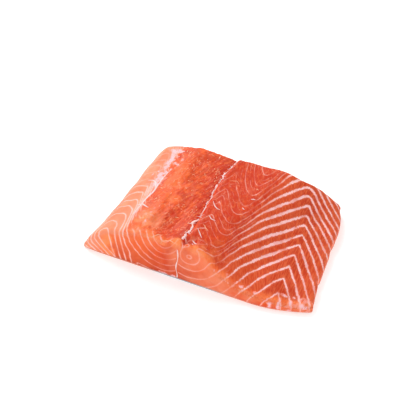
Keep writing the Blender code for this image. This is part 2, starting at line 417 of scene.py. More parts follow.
depth = section_height(seam_points[:, 0], seam_points[:, 1]) / CM - z  # below the flesh side
under_edge = hump(np.maximum(depth, 0), 0, 0.24)
lobe = up * hump(x, -3.3, 1.2) * hump(y, 1.8, 1.4)  # frayed flesh at the front of the loin
rear_gap = rear_cut(seam_points[:, 0]) / CM - y
rear_rim = up * hump(np.maximum(rear_gap, 0), 0, 0.3) * ease(x, -4.6, -4.0)
front_rim = up * hump(np.maximum(front_gap, 0), 0, 0.36) * ease(x, -6.5, -5.5)
front_side = 1 - ease(y, 3.0, 5.0)  # keeps a mark of the front cut off the rear one
for name, mask in (("loin", loin), ("back slope", back_slope), ("striped belly", striped * up)):
    print(f"{name}: {100 * mask.mean():.0f}% of the points")

# %% [markdown]
# Salmon muscle is a stack of nested cones, with a thin sheet of fat between each and the next. Every cut
# shows the same stack: chevrons on the flesh side, rings on the cut ends. So the lines are not drawn on
# the surface. One smooth function of all three directions counts the fat sheets, and wherever it passes
# a whole number a pale line shows. The sheets are counted along the fish, in centimetres.

# %% Cones of the belly side
PITCH_FRONT = 1.29  # cm between sheets at the front cut
PITCH_FALL = 0.064  # the pitch falls by this for each cm
PITCH_LEAST = 0.72
FIRST_SHEET = 0.62  # sheets that the front cut has taken away
RING_PLACE = (0.8, 3.2)  # x and z of the rings beside the seam
BEND = 0.22  # cm over which a sheet bends from one slope to the next


def soft_least(a, b, width):
    """The lesser of two values, with the corner between them rounded."""
    share = np.clip(0.5 + 0.5 * (b - a) / width, 0, 1)
    return b * (1 - share) + a * share - width * share * (1 - share)


def soft_most(a, b, width):
    return -soft_least(-a, -b, width)


def soft_above_zero(value):
    return np.where(value > 20, value, np.log1p(np.exp(np.minimum(value, 20))))


def sheet_count(reach):
    """How many fat sheets lie before this reach."""
    last = (PITCH_FRONT - PITCH_LEAST) / PITCH_FALL

    def passed(value):
        near = -np.log1p(-np.minimum(value, last) * PITCH_FALL / PITCH_FRONT) / PITCH_FALL
        return near + np.maximum(value - last, 0) / PITCH_LEAST

    return passed(reach) - FIRST_SHEET


def apex_line(y):
    """Where the points of the chevrons lie."""
    return 6.91 + 0.018 * y - 0.038 * np.maximum(y - 5, 0) ** 2


def belly_cone(x, y, z):
    """How far back the belly side's cone lies at a point."""
    behind = ease(y - FRONT_LEAN * z, 0.15, 1.4)  # 0 at the front cut, where the rings lie wider apart
    ring = np.hypot(x - RING_PLACE[0], 0.95 * (z - RING_PLACE[1] + 0.75 * (1 - behind)))
    apex = apex_line(y)
    inner = -(1.42 - 0.063 * y) * (apex - RING_PLACE[0] - ring)
    inner -= (2.01 * behind - 0.37) * BEND * soft_above_zero((1.96 + 0.17 * y - ring) / BEND)  # steep
    level_from = 1.05 + 0.3 * behind + 0.1 * y
    inner += (4.16 * behind - 0.59) * BEND * soft_above_zero((level_from - ring) / BEND)
    outer = -(1.6 - 0.075 * y) * (x - apex)
    return soft_least(inner, outer, 0.08 + 0.55 * np.clip((y - 5) / 5, 0, 1) ** 2)


# %% Cones of the back side
BACK_PITCH = 0.77
CORE_PLACE = 0.6  # reach of the sheet round the back's orange core


def back_cone(x, y, z):
    """A cone round the orange core of the back, and beside the seam another one's rings."""
    drift = np.minimum(0.45 * np.minimum(y, 2.0) + 0.2 * np.maximum(y - 2.0, 0), 1.4)
    seam_side = 0.45 + 1.75 * (x + 5.54 + 0.2 * (z - 1.7) - drift)
    low_side = 0.45 + 1.5 * (-4.9 - x - z)
    core = soft_most(soft_most(seam_side, low_side, 0.12), 0.0, 0.9)
    ring = np.hypot(x + 1.3, z - 3.2)
    rings = 2.8 + 1.4 * (3.3 - ring)
    share = ease(ring, 3.0, 3.7)
    return -(share * core + (1 - share) * rings)


def sheets(x, y, z):
    """The number of the fat sheet at a point: whole numbers are lines."""
    on_belly = sheet_count(y - belly_cone(x, y, z))
    on_back = (y - back_cone(x, y, z) - CORE_PLACE) / BACK_PITCH
    return np.where(x > 0, on_belly, on_back)


WANDER = 0.042  # cm that a sheet strays from its smooth cone
WANDER_BESIDE = 0.13  # in the soft flesh beside the seam
WANDER_BACK = 0.085  # on the back side

strays = WANDER * patchy(12, 7.0) + 0.012 * noise(15, points_mm, 1.8)
strays += WANDER_BESIDE * beside * patchy(16, 9.0)
strays += WANDER_BACK * (1 - ease(x, -2.5, 0.0)) * patchy(18, 6.0)
phase = sheets(x, y + strays, z)
STEP = 0.01  # cm, over which the slope of the count is measured
ways = ((STEP, 0, 0), (0, STEP, 0), (0, 0, STEP))
slope = np.stack([sheets(x + a, y + strays + b, z + c) - phase for a, b, c in ways], axis=1) / STEP
slope -= normals * (slope * normals).sum(axis=1, keepdims=True)
line_gap = np.clip(CM_TO_MM / np.maximum(np.linalg.norm(slope, axis=1), 1e-3), 0.5, 20.0)
print("sheets counted:", int(phase.min()), "to", int(phase.max()))
print("mm between neighbours, straight across:", round(float(np.median(line_gap)), 1))

# %% Width and strength of the fat lines
apex = apex_line(y)
inner_middle = hump(x, 5.2, 1.7) * ease(y, 0.4, 3.6)  # the lines are widest halfway to their points
line_half = 0.34 + striped * up * (0.16 + 0.42 * inner_middle + 0.05 * ease(x, 6.9, 7.9))
line_half += 0.13 * patchy(21, 5.0)
line_half += 0.12 * ease(-x, 3.0, 5.0) + 0.12 * ease(-x, 6.0, 7.2)
line_half += 0.10 * up * ease(x - apex, 0.1, 0.8)  # wide again past the points
line_half -= 0.08 * beside
line_strength = 1 - 0.97 * loin
faint = 0.80 - 0.65 * np.clip(patchy(17, 8.0), 0, 0.6) + 0.04 * ease(y, 5.0, 8.0)
line_strength *= 1 - beside * faint
line_strength *= 1 - 0.65 * back_slope * ease(y, 4.6, 6.6)
line_strength *= 0.9 + 0.45 * patchy(22, 5.0)
line_strength *= ease(np.abs(x), 0.04, 0.16) * (1 - 0.15 * ease(x - apex, 0, 0.8))
line_strength *= 1 - cut_face * (0.35 * ease(x, 0.1, 0.8) + 0.25 * hump(x, 3.5, 2.0))
line_strength *= 1 - 0.75 * cut_face * hump(x, -0.9, 1.8)  # the sheets fade towards the seam
# thin sheets halfway between the others, in the soft flesh beside the seam
between_strength = np.clip(beside * (0.10 + 0.35 * patchy(23, 8.0)), 0, 0.3)
print("half width of a line in mm:", np.round([line_half.min(), line_half.max()], 2))

# %% Direction of the fibres
LOIN_TURN = np.radians(20)  # the loin's fibres lean this far from the length towards the seam
BELLY_TURN = np.radians(-23)


def turned(x, y, angle):
    """Coordinates across and along a direction that leans by angle from +Y towards +X."""
    return x * np.cos(angle) - y * np.sin(angle), x * np.sin(angle) + y * np.cos(angle)


inner_fibres = turned(x, y, BELLY_TURN)
outer_fibres = turned(x, y, 0.0)
loin_fibres = turned(x, y, LOIN_TURN)
fibre_place = np.empty_like(seam_points)
for axis in (0, 1):
    belly_side = np.where(x < apex - 1.0, inner_fibres[axis], outer_fibres[axis] + 30.0)
    fibre_place[:, axis] = np.where(x > 0, belly_side, loin_fibres[axis] - 30.0) * CM_TO_MM
fibre_place[:, 2] = z * CM_TO_MM
print("fibres of the loin lean", round(float(np.degrees(LOIN_TURN))), "degrees")

# %% [markdown]
# Cutting and handling leave marks. Those that are wide enough to be form go into the mesh: fat lines a
# little lower than the muscle between them, ridges of torn fibre in the loin, patches of membrane that
# stand proud, the frayed front edge and belly tip. The back rim sags to a rounded corner, and the seam's
# crease bends towards the belly at the rear. Each is a height or a shift for every point of the mesh.

# %% White membrane beside the loin, and thin film on the tip, the rim, the lobe and the foot
patch = ease(y, 4.4, 5.6) * (1 - ease(y, 9.4, 9.9))
patch_edge = patchy(43, (3.0, 3.6, 3.0))
patch_width = 0.07 + 0.42 * patch * (1.0 + 0.9 * noise(44, points_mm, (40, 6, 40)))
membrane = 0.35 + 2.0 * (patch_width - np.abs(from_band + 0.18)) + 1.25 * patch_edge
membrane = np.clip(membrane, 0, 1) * patch
thread = hump(from_band, 0, 0.085) * (0.95 + 0.35 * noise(45, points_mm, 4.0))
thread *= (1 - cut_face) * ease(y, 1.2, 2.0) * ease(z, 1.2, 1.6) * (1 - 0.7 * patch)
shreds = patchy(46, (3.0, 3.0, 2.0))
fat_at_foot = cut_face * front_side * (1 - ease(z, 0.1, 0.5)) * hump(x, -0.8, 2.2)
FILMS = (  # how much of it there is, and the most that it covers
    (thread, 1.0),
    (0.8 * tip * up * (0.15 + 1.8 * shreds), 0.9),
    (0.6 * front_rim * ease(x, 1.4, 2.2) * (2.2 * shreds - 0.3), 0.8),
    (lobe * (1.9 * shreds - 0.4), 0.7),
    (fat_at_foot * (0.7 + 1.2 * shreds), 0.9),
)
for film, most in FILMS:
    membrane = np.maximum(membrane, np.clip(film, 0, most))
FILM_PATCHES = (  # x, y, radius across and along in mm
    (87.0, 7.8, 5.2, 2.6), (72.5, 10.0, 2.8, 1.3), (78.0, 5.0, 1.9, 4.2), (71.0, 3.0, 1.5, 3.6),
    (79.6, 10.8, 1.7, 1.2), (65.0, 0.8, 1.8, 1.4), (43.8, 2.8, 1.8, 1.1), (54.5, 3.4, 2.6, 1.2),
)
for place in FILM_PATCHES:
    spot = soft_spot(CM_TO_MM * x, CM_TO_MM * y, *place)
    membrane = np.maximum(membrane, np.clip(spot * (1.1 + 0.8 * shreds), 0, 1))
print("membrane:", round(100 * float((membrane > 0.5).mean()), 1), "% of the points")

# %% Relief of the flesh
# heights in mm
LINE_GROOVE = 0.12
TORN_RIDGE = 0.24
TORN_FINE = 0.18
TORN_LUMP = 0.34
LOBE_LUMP = 0.70
SOFT_UNEVEN = 0.09
RIM_FRAY = 0.80
TIP_FRAY = 1.00
MEMBRANE_RISE = 0.15
RIM_ROUND = 5.0  # radius of the back rim's corner


def seam_bend(y):
    """How far the seam strays from straight towards the belly, in cm."""
    return 0.38 * ease(y, 7.8, 10.2) - 0.09 * ease(y, 2.6, 5.0)


off_line = np.abs(phase - np.round(phase)) * line_gap
torn = np.clip(loin + 0.6 * beside + 0.6 * front_rim, 0, 1)
ridges = 1 - 2 * np.abs(noise(31, fibre_place, (2.2, 7.0, 4.0)))
fine_ridges = 1 - 2 * np.abs(noise(32, fibre_place, (1.1, 3.6, 3.0)))
lumps = patchy(35, 6.5)
torn_lift = TORN_RIDGE * (ridges - 0.5) + TORN_FINE * (fine_ridges - 0.5) + TORN_LUMP * lumps
lift = (loin + 0.3 * beside) * torn_lift
lift += LOBE_LUMP * lobe * patchy(37, 4.5)
lift -= LINE_GROOVE * line_strength * hump(off_line, 0, line_half + 0.25)
lift += SOFT_UNEVEN * (1 + cut_face) * patchy(33, 5.0)
lift += TIP_FRAY * tip * (np.maximum(patchy(34, 3.8), -0.1) - 0.2)
ragged_rim = np.maximum(front_rim, cut_face * front_side * under_edge * ease(x, -3.5, -2.5))
lift += RIM_FRAY * ragged_rim * (noise(36, points_mm, 3.4) - 0.3)
lift += MEMBRANE_RISE * ease(membrane, 0.35, 0.65)
lift *= ease(z * CM_TO_MM, 1.4, 3.2)  # none where the flesh meets the skin
seam_points = seam_points + normals * (lift * MM)[:, None]
seam_points[:, 0] += seam_bend(y) * CM * hump(x, 0, SEAM_PULL) * ease(z, 0.1, 0.5)
inward = np.clip(1 - (seam_points[:, 0] - back_edge(seam_points[:, 1])) / (RIM_ROUND * MM), 0, 1)
upward = np.clip(1 - depth * CM_TO_MM / RIM_ROUND, 0, 1)
round_share = 1 - np.maximum(inward, upward) / np.maximum(np.hypot(inward, upward), 1e-6)
round_share = np.where((inward > 0) & (upward > 0), round_share, 0)
seam_points[:, 0] += RIM_ROUND * MM * inward * round_share
seam_points[:, 2] -= RIM_ROUND * MM * upward * round_share
placed = np.clip(seam_points + SEAM_PLACE, flesh_low, flesh_high)
flesh_mesh.vertices.foreach_set("co", placed.ravel())
flesh_mesh.update()
print("relief in mm:", np.round([lift.min(), lift.max()], 2))

# %% [markdown]
# Colour varies more than form does. The loin is deep red where it is wet and torn and orange where it is
# smooth, and its hollows are painted redder as shade. Single muscles and the raw front edge glow orange,
# and the back slope is pale. A short table names the spots that any cook would notice, with how much
# redder each is and how much it glows; the red of the pit, the crevices, the hollow behind the lobe and
# the seam's bank is painted shade, and the valley in front of the belly is lightened as painted light.
# The spots could be painted by hand, but a named place and size is easier to read and to move.

# %% Colour regions
# name, x, y, radius across, radius along in mm, redness, glow
SPOTS = (
    # Deep red in the pit: painted shade in this hollow.
    ("pit at the front of the seam", 3.0, 10.5, 5.2, 5.0, 1.1, -0.4),
    ("knob beside the pit", -5.0, 6.4, 3.4, 3.2, -0.5, 1.0),
    ("frayed lobe", -34.0, 17.0, 8.5, 9.5, -0.7, 0.8),
    # A painted shadow in the hollow behind the lobe.
    ("hollow behind the lobe", -23.0, 22.0, 5.0, 8.0, 0.2, 0.0),
    # The two crevices are painted redder as shade.
    ("front crevice of the loin", -18.3, 34.0, 1.6, 4.0, 0.5, 0.0),
    ("rear crevice of the loin", -19.5, 49.0, 1.8, 2.4, 0.5, 0.0),
    ("orange flake", -24.0, 43.0, 4.0, 4.0, -0.4, 0.3),
    ("orange side of the loin", -31.0, 62.0, 9.0, 26.0, -0.5, 0.2),
    ("round muscle under the pit", 8.0, 6.0, 4.0, 3.0, -0.3, 0.6),
    ("round muscle right of the pit", 14.0, 8.0, 4.5, 3.0, 0.0, 0.4),
    ("core of the back", -58.5, 2.0, 5.0, 9.0, -0.3, 1.0),
    # Redder on the rear of the seam's left bank: painted shade.
    ("dark bank of the seam", -2.5, 84.0, 3.5, 16.0, 0.4, 0.0),
    # Less red and more orange: painted light in this hollow.
    ("valley in front of the belly", 21.0, 15.0, 6.0, 9.0, -0.15, 0.15),
    ("rear shoulder of the belly", 26.0, 92.0, 14.0, 20.0, 0.15, 0.0),
)
clouds = patchy(41, 8.0)
# Redder where the torn loin's ridges and lumps sink low: painted shade in its hollows.
painted_hollow_shade = np.clip(0.25 - 0.5 * ridges - 0.3 * fine_ridges - 0.4 * lumps, 0, 1) * torn
# Redder on the seam's left bank, where it falls into the groove: painted shade.
bank = up * ease(x, -1.0, -0.2) * (1 - ease(x, -0.02, 0.05))
front_face = cut_face * (1 - ease(y, 2.0, 4.0))
redness = 0.44 * loin + 0.45 * bank + 0.26 * painted_hollow_shade + 0.64 * beside
redness += 0.30 * cut_face * hump(x, -0.6, 1.8) - 0.45 * front_rim
redness += clouds * (0.08 + 0.04 * torn) + 0.15 * cut_face * patchy(54, 4.5)
redness += 0.16 * torn * rough_noise(51, fibre_place, (3.0, 7.0, 4.0)) - 0.25 * rear_rim
glow = 0.12 * cut_face * ease(-x, 1.0, 3.0)
for rim, seed, share in ((front_rim, 47, 0.45), (rear_rim, 52, 0.25)):
    glow += share * rim * np.clip(0.9 + 1.4 * patchy(seed, 5.0), 0, 1.6)
glow += 0.12 * torn * np.clip(patchy(48, 4.0), 0, 1)
# The much redder spots are painted shade in hollows, and may go deeper red than the rest.
painted_shade_spots = np.zeros_like(x)
for _, *place, redder, brighter in SPOTS:
    spot = soft_spot(CM_TO_MM * place_x, CM_TO_MM * y, *place)
    redness += redder * spot * (1 - 0.7 * cut_face)
    painted_shade_spots = np.maximum(painted_shade_spots, (redder > 0.3) * spot)
    glow += brighter * spot * (1 + 1.2 * patchy(49, 4.0))
soft_slope = ease(-from_band, -0.1, 0.1) * (1 - cut_face * (1 - under_edge))  # runs over the edge of the cut
rear_of_band = ease(y, 5.0, 7.0) * ease(from_band, -1.2, -0.3)
paleness = soft_slope * (0.86 + 0.3 * patchy(50, 9.0) - 0.2 * rear_of_band)
paleness += 0.35 * front_face * under_edge * ease(-x, 0.0, 2.0) + 0.25 * tip + 0.12 * ease(x, 8.3, 9.2)
paleness += cut_face * (0.21 + 0.28 * hump(x, 1.5, 2.2) + 0.22 * ease(x, 1.0, 3.0) - 0.2 * ease(x, 4.5, 6.5))
paleness -= 0.2 * front_face * hump(x, -3.0, 1.6)
paleness += 0.75 * cut_face * (1 - ease(x, -6.9, -6.0))
paleness += 0.6 * lobe * (0.7 + 1.2 * patchy(53, 5.0))
foot = cut_face * (1 - ease(z, 0.8, 2.2)) * ease(x, -6.5, -5.0) * (1 - 0.6 * ease(x, 0.5, 2.0))
paleness -= 0.2 * foot
paleness += 0.10 * patchy(42, 8.0) + 0.16 * cut_face * patchy(55, 5.0)
brownness = 0.5 * foot
brownness += 0.4 * cut_face * (1 - ease(z, 0.15, 0.45)) * ease(x, -6.0, -5.0)
brownness += striped * up * (0.60 + 0.25 * hump(x - apex, 0, 1.6)) * ease(front_gap, 0.0, 0.5)
print("reddest:", round(float(redness.max()), 2), "palest:", round(float(paleness.max()), 2))

# %% Store the fields on the mesh
FIELDS = {
    "sheet_number": phase,
    "line_gap": line_gap,
    "line_half": line_half,
    "line_strength": np.clip(line_strength, 0, 1.2),
    "between_strength": between_strength,
    # The painted shade of the seam's bank and of the hollow spots may go redder than the rest.
    "redness": np.clip(redness, 0, 0.62 + 0.35 * np.maximum(painted_shade_spots, 0.7 * bank)),
    "paleness": np.clip(paleness, 0, 1),
    "brownness": np.clip(brownness, 0, 1),
    "glow": np.clip(glow, 0, 1),
    "membrane": membrane,
    "torn": torn,
    "striped": striped * up,
}


def store(mesh, name, values):
    kind = "FLOAT" if values.ndim == 1 else "FLOAT_VECTOR"
    layer = mesh.attributes.new(name, kind, "POINT")
    layer.data.foreach_set("value" if values.ndim == 1 else "vector", values.astype(np.float32).ravel())


def in_scene(name, data):
    """A new object of the scene."""
    made = bpy.data.objects.new(name, data)
    bpy.context.scene.collection.objects.link(made)
    return made


for name, values in FIELDS.items():
    store(flesh_mesh, name, values)
store(flesh_mesh, "fibre_place", fibre_place)
flesh_mesh.shade_smooth()
flesh = in_scene("raw_flesh", flesh_mesh)
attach(flesh, "root")
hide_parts("salmon_flesh")
flesh_mesh.calc_loop_triangles()
print("flesh triangles:", len(flesh_mesh.loop_triangles))

# %% [markdown]
# A material's maths reads best as sums. The class below wraps an output socket of a node tree, so that
# `1 - mask` or `mask * 0.5` adds the Math nodes it needs. Every other node comes from one method, which
# takes the node's type, its settings and the values or links of its sockets.

# %% Sockets that take part in sums
class Strand:
    """An output socket of a shader tree."""

    def __init__(self, tree, socket):
        self.tree = tree
        self.socket = socket

    def node(self, kind, settings=(), sockets=(), out=0):
        return add_node(self.tree, kind, settings, sockets, out)

    def maths(self, operation, *values, clamp=False):
        sockets = dict(enumerate((self, *values)))
        return self.node("ShaderNodeMath", {"operation": operation, "use_clamp": clamp}, sockets)

    def __add__(self, other):
        return self.maths("ADD", other)

    __radd__ = __add__

    def __sub__(self, other):
        return self.maths("SUBTRACT", other)

    def __rsub__(self, other):
        return self.maths("MULTIPLY", -1.0) + other

    def __mul__(self, other):
        return self.maths("MULTIPLY", other)

    __rmul__ = __mul__

    def clamped(self):
        return self.maths("ADD", 0.0, clamp=True)

    def step(self, start, end):
        """Smooth step from 0 at start to 1 at end."""
        sockets = {"Value": self, "From Min": start, "From Max": end}
        return self.node("ShaderNodeMapRange", {"interpolation_type": "SMOOTHSTEP"}, sockets)


def add_node(tree, kind, settings=(), sockets=(), out=0):
    node = tree.nodes.new(kind)
    for name, value in dict(settings).items():
        setattr(node, name, value)
    for name, value in dict(sockets).items():
        if isinstance(value, Strand):
            tree.links.new(value.socket, node.inputs[name])
        else:
            node.inputs[name].default_value = value
    return Strand(tree, node.outputs[out])


class Finish:
    """A material with one Principled shader, whose pattern is added node by node."""

    def __init__(self, name):
        self.material = bpy.data.materials.new(name)
        self.material.use_nodes = True
        self.tree = self.material.node_tree
        self.shader = self.tree.nodes["Principled BSDF"]

    def node(self, kind, settings=(), sockets=(), out=0):
        return add_node(self.tree, kind, settings, sockets, out)

    def field(self, name, out="Fac"):
        """A value that the mesh stores on its points."""
        return self.node("ShaderNodeAttribute", {"attribute_name": name}, out=out)

    def noise(self, place, scale, detail=2.0, roughness=0.5):
        sockets = {"Vector": place, "Scale": scale, "Detail": detail, "Roughness": roughness}
        return self.node("ShaderNodeTexNoise", sockets=sockets)

    def stretched(self, place, size):
        """A place divided by a size on each axis, for noise that is longer one way."""
        sockets = {0: place, 1: tuple(1.0 / v for v in size)}
        return self.node("ShaderNodeVectorMath", {"operation": "MULTIPLY"}, sockets)

    def mix(self, share, first, second):
        sockets = {0: share, 6: first, 7: second}
        return self.node("ShaderNodeMix", {"data_type": "RGBA"}, sockets, out=2)

    def bump(self, height, distance, strength):
        sockets = {"Height": height, "Distance": distance, "Strength": strength}
        return self.node("ShaderNodeBump", sockets=sockets)

    def set(self, **values):
        for name, value in values.items():
            socket = self.shader.inputs[name.replace("_", " ").title().replace("Ior", "IOR")]
            if isinstance(value, Strand):
                self.tree.links.new(value.socket, socket)
            else:
                socket.default_value = value


def shade(red, green, blue):
    """A colour picked on screen (0 to 255), as the linear values that a shader takes."""
    parts = [v / 255 for v in (red, green, blue)]
    return tuple(v / 12.92 if v <= 0.04045 else ((v + 0.055) / 1.055) ** 2.4 for v in parts) + (1.0,)


print("orange flesh as linear values:", [round(v, 3) for v in shade(240, 112, 78)])

# %% [markdown]
# Raw salmon is wet, soft and a little see-through: light goes in, spreads a millimetre or two and comes
# out redder. The Principled shader's subsurface does that. Its colour is built in layers from the masks:
# orange flesh, redder in the torn loin, with painted shade in its hollows and on the seam's bank, paler on
# the back slope, browner between the belly's lines; then fibres, then the fat lines with feathered edges
# and the thin ones between them, then the membrane.

# %% Raw flesh
DEEP_RED = shade(186, 34, 16)
CLEAR_RED = shade(205, 52, 16)
ORANGE = shade(238, 90, 34)
GLOWING_ORANGE = shade(255, 140, 78)
PALE_SALMON = shade(244, 146, 110)
STREAK_ORANGE = shade(228, 106, 60)
BROWN_ORANGE = shade(184, 50, 22)
WISP = shade(245, 116, 62)
FAT = shade(252, 200, 200)
FAT_THIN = shade(255, 178, 142)
FILM_PINK = shade(250, 166, 152)
FILM_WHITE = shade(242, 200, 208)


def raw_flesh():
    made = Finish("raw_salmon_flesh")
    place = made.node("ShaderNodeTexCoord", out="Object")
    fibre_place = made.field("fibre_place", out="Vector")
    torn, striped = made.field("torn"), made.field("striped")
    fine = made.noise(place, 900, detail=3.0, roughness=0.6)
    soft = made.noise(place, 300, detail=3.0, roughness=0.55)
    fibres = made.noise(made.stretched(fibre_place, (0.75, 8.0, 2.0)), 1.0)
    wisps = made.noise(made.stretched(fibre_place, (1.6, 5.0, 2.5)), 1.0, detail=4.0, roughness=0.65)
    web_noise = made.noise(made.stretched(fibre_place, (3.2, 6.0, 5.0)), 1.0, detail=3.0, roughness=0.55)
    web_place = made.noise(place, 160, detail=2.0)

    uneven = (0.5 + 0.5 * torn) * (soft - 0.5) + 1.3 * torn * (fibres - 0.5)
    red_share = (made.field("redness") + uneven).clamped()
    colour = made.mix((red_share * 2).clamped(), ORANGE, CLEAR_RED)
    colour = made.mix((red_share * 2 - 1).clamped(), colour, DEEP_RED)
    colour = made.mix(made.field("brownness"), colour, BROWN_ORANGE)
    colour = made.mix((made.field("glow") * (0.2 + 1.6 * soft)).clamped(), colour, GLOWING_ORANGE)
    colour = made.mix((made.field("paleness") + 0.25 * (soft - 0.5)).clamped(), colour, PALE_SALMON)
    streak = fibres.step(0.42, 0.64) * (striped * 0.62 + torn * 0.22 + 0.06)
    colour = made.mix(streak, colour, STREAK_ORANGE)
    wisp = wisps.step(0.52, 0.64) * (torn * 0.6)
    colour = made.mix(wisp, colour, WISP)
    web = 1 - (web_noise - 0.5).maths("ABSOLUTE").step(0.004, 0.022)
    web = web * web_place.step(0.40, 0.60) * torn
    colour = made.mix(web * 0.5, colour, FAT_THIN)

    number = made.field("sheet_number")
    off = (number - number.maths("ROUND")).maths("ABSOLUTE") * made.field("line_gap")
    feathered = 0.8 * (fine - 0.5) + 0.5 * (soft - 0.5) + 2.0 * striped * (fibres - 0.5)
    beyond = off + feathered - made.field("line_half")
    strength = made.field("line_strength")
    halo = (1 - beyond.step(-0.2, 1.2)) * strength
    colour = made.mix(halo * 0.2, colour, FAT_THIN)
    line = ((1 - beyond.step(-0.20, 0.20)) * strength).clamped()
    twice = number * 2
    off_thin = (twice - twice.maths("ROUND")).maths("ABSOLUTE") * made.field("line_gap") * 0.5
    thin = (1 - (off_thin + 0.5 * feathered).step(0.05, 0.38)) * made.field("between_strength")
    line = (line + thin * (1 - line)).clamped()
    fat = made.mix(striped * 0.35 + 0.65, FAT_THIN, FAT)
    colour = made.mix(line * 0.95, colour, fat)

    ragged = made.field("membrane") + 0.6 * (fine - 0.5) + 0.9 * (soft - 0.5)
    film = ragged.step(0.34, 0.62)
    thick = (ragged + 0.8 * (fine - 0.5)).step(0.72, 1.0)
    colour = made.mix(film * (0.45 + 0.38 * thick), colour, made.mix(thick, FILM_PINK, FILM_WHITE))

    height = 0.6 * fine + 0.7 * fibres * (torn * 0.8 + striped * 0.5 + 0.1) - 0.5 * line + 0.5 * film
    made.set(base_color=colour, normal=made.bump(height, 0.00022, 0.75))
    made.set(roughness=0.50 + 0.16 * (fine - 0.5) + 0.04 * torn + 0.06 * line)
    made.set(coat_weight=0.03 + 0.07 * torn)
    made.set(coat_roughness=0.25, ior=1.25)
    made.set(subsurface_weight=0.18, subsurface_radius=(1.0, 0.30, 0.16), subsurface_scale=0.0014)
    return made.material


flesh_mesh.materials.append(raw_flesh())
print("flesh nodes:", len(flesh_mesh.materials[0].node_tree.nodes))

# %% [markdown]
# The skin under the flesh is a thin leathery sheet with small overlapping scales. Only its edge shows
# while the piece lies down, as a grey line at the foot of the cuts, but a cook turns the piece over, so
# its underside has the scales too: each one a shallow step pressed into the sheet.

# %% The skin
SKIN_COLUMNS = 216
SKIN_ROWS = 138
SCALE_LENGTH = 3.0  # mm
SCALE_WIDTH = 2.3
SCALE_STEP = 0.16


def skin_points(column, row, layer):
    x, y = plan(2 * column - 1, row)
    return np.stack([x, y, underside(x, y) + SKIN_THICKNESS * layer], axis=1)


def scales(x, y):
    """Height over the underside of overlapping scales in brick rows, from 0 at a rim to 1."""
    rows = y / (SCALE_LENGTH * MM) * 2
    row = np.floor(rows)
    total = np.zeros_like(x)
    for back in (0, 1):
        this = row - back
        across = x / (SCALE_WIDTH * MM) + 0.5 * (this % 2)
        side = (across - np.floor(across) - 0.5) * 2
        ahead = (rows - this) / 2
        inside = ahead + 0.28 * side**2
        total = np.maximum(total, np.where(inside < 1, inside * (1 - side**4), 0))
    return total


skin_mesh, skin_shares = gridded_mesh("skin", SKIN_COLUMNS, SKIN_ROWS, 2, hidden=1.0)
skin_at = skin_points(*skin_shares.T)
scale_height = scales(skin_at[:, 0], skin_at[:, 1])
lower = skin_shares[:, 2] < 0.25
skin_at[:, 2] += np.where(lower, SCALE_STEP * MM * (1 - scale_height), 0)
skin_placed = np.clip(skin_at + SEAM_PLACE, cad_low, cad_high)
skin_mesh.vertices.foreach_set("co", skin_placed.ravel())
store(skin_mesh, "scale_height", scale_height)
store(skin_mesh, "across_fillet", skin_at[:, 0] / CM)
from_rim = np.minimum(skin_shares[:, 0], 1 - skin_shares[:, 0]) * 16
from_rim = np.minimum(from_rim, np.minimum(skin_shares[:, 1], 1 - skin_shares[:, 1]) * 10)
store(skin_mesh, "near_edge", 0.85 * (1 - ease(from_rim * 10, 0.5, 2.0)))
skin_mesh.shade_smooth()
skin_mesh.set_sharp_from_angle(angle=np.radians(50))
skin = in_scene("silver_skin", skin_mesh)
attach(skin, "root")
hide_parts("salmon_skin")
skin_mesh.calc_loop_triangles()
print("skin triangles:", len(skin_mesh.loop_triangles))

# %% Silver skin
SILVER = shade(196, 200, 206)
SLATE = shade(84, 92, 104)
RIM_GREY = shade(128, 134, 142)


def silver_skin():
    made = Finish("silver_fish_skin")
    place = made.node("ShaderNodeTexCoord", out="Object")
    fine = made.noise(place, 1400, detail=3.0)
    soft = made.noise(place, 120, detail=3.0)
    scale_height = made.field("scale_height")
    across = made.field("across_fillet")
    dark_back = (across * -1.0).step(1.0, 6.5)
    edge_pink = made.field("near_edge") * (across - 0.4).maths("ABSOLUTE").step(1.6, 3.6)
    colour = made.mix((dark_back * 0.8 + 0.4 * (soft - 0.5)).clamped(), SILVER, SLATE)
    colour = made.mix((1 - scale_height.step(0.05, 0.5)) * 0.5, colour, RIM_GREY)
    colour = made.mix(edge_pink, colour, PALE_SALMON)
    normal = made.bump(fine, 0.0001, 0.5)
    made.set(base_color=colour, normal=normal, metallic=(0.35 + 0.2 * scale_height) * (1 - edge_pink))
    made.set(roughness=0.30 + 0.25 * (fine - 0.5), coat_weight=0.4, coat_roughness=0.15)
    return made.material


skin_mesh.materials.append(silver_skin())
print("skin nodes:", len(skin_mesh.materials[0].node_tree.nodes))

# %% [markdown]
# Along the seam the two muscles are held by white connective tissue, which tears into strands, knots and
# short flecks when the pin bones are drawn. Each strand is a flat ribbon laid on the finished flesh. Its
# route is a few places in millimetres from the seam; every point of it drops straight onto the surface,
# or goes level onto a cut face, and takes the surface's own slope there.

# %% Ribbons of tissue
surface = BVHTree.FromPolygons(
    [Vector(p) for p in placed], [tuple(f.vertices) for f in flesh_mesh.polygons]
)
RIBBON_SIDES = 6
START_AWAY = 0.1  # m, how far outside the piece a point starts on its way to the flesh
DOWN, BACKWARD, FORWARD = (0, 0, -1), (0, 1, 0), (0, -1, 0)


def lay_on(point, towards):
    """The place of the flesh that a point meets on its way, and the surface's normal there."""
    start = Vector(np.asarray(point) + SEAM_PLACE) - Vector(towards) * START_AWAY
    found, normal, _, _ = surface.ray_cast(start, Vector(towards))
    return found, normal


def along(places, step=0.5):
    """Points a step apart on a line through the places, in mm."""
    places = np.asarray(places, float)
    run = np.concatenate([[0], np.cumsum(np.linalg.norm(np.diff(places, axis=0), axis=1))])
    at = np.linspace(0, run[-1], max(int(run[-1] / step) + 1, 4))
    return np.stack([np.interp(at, run, column) for column in places.T], axis=1)


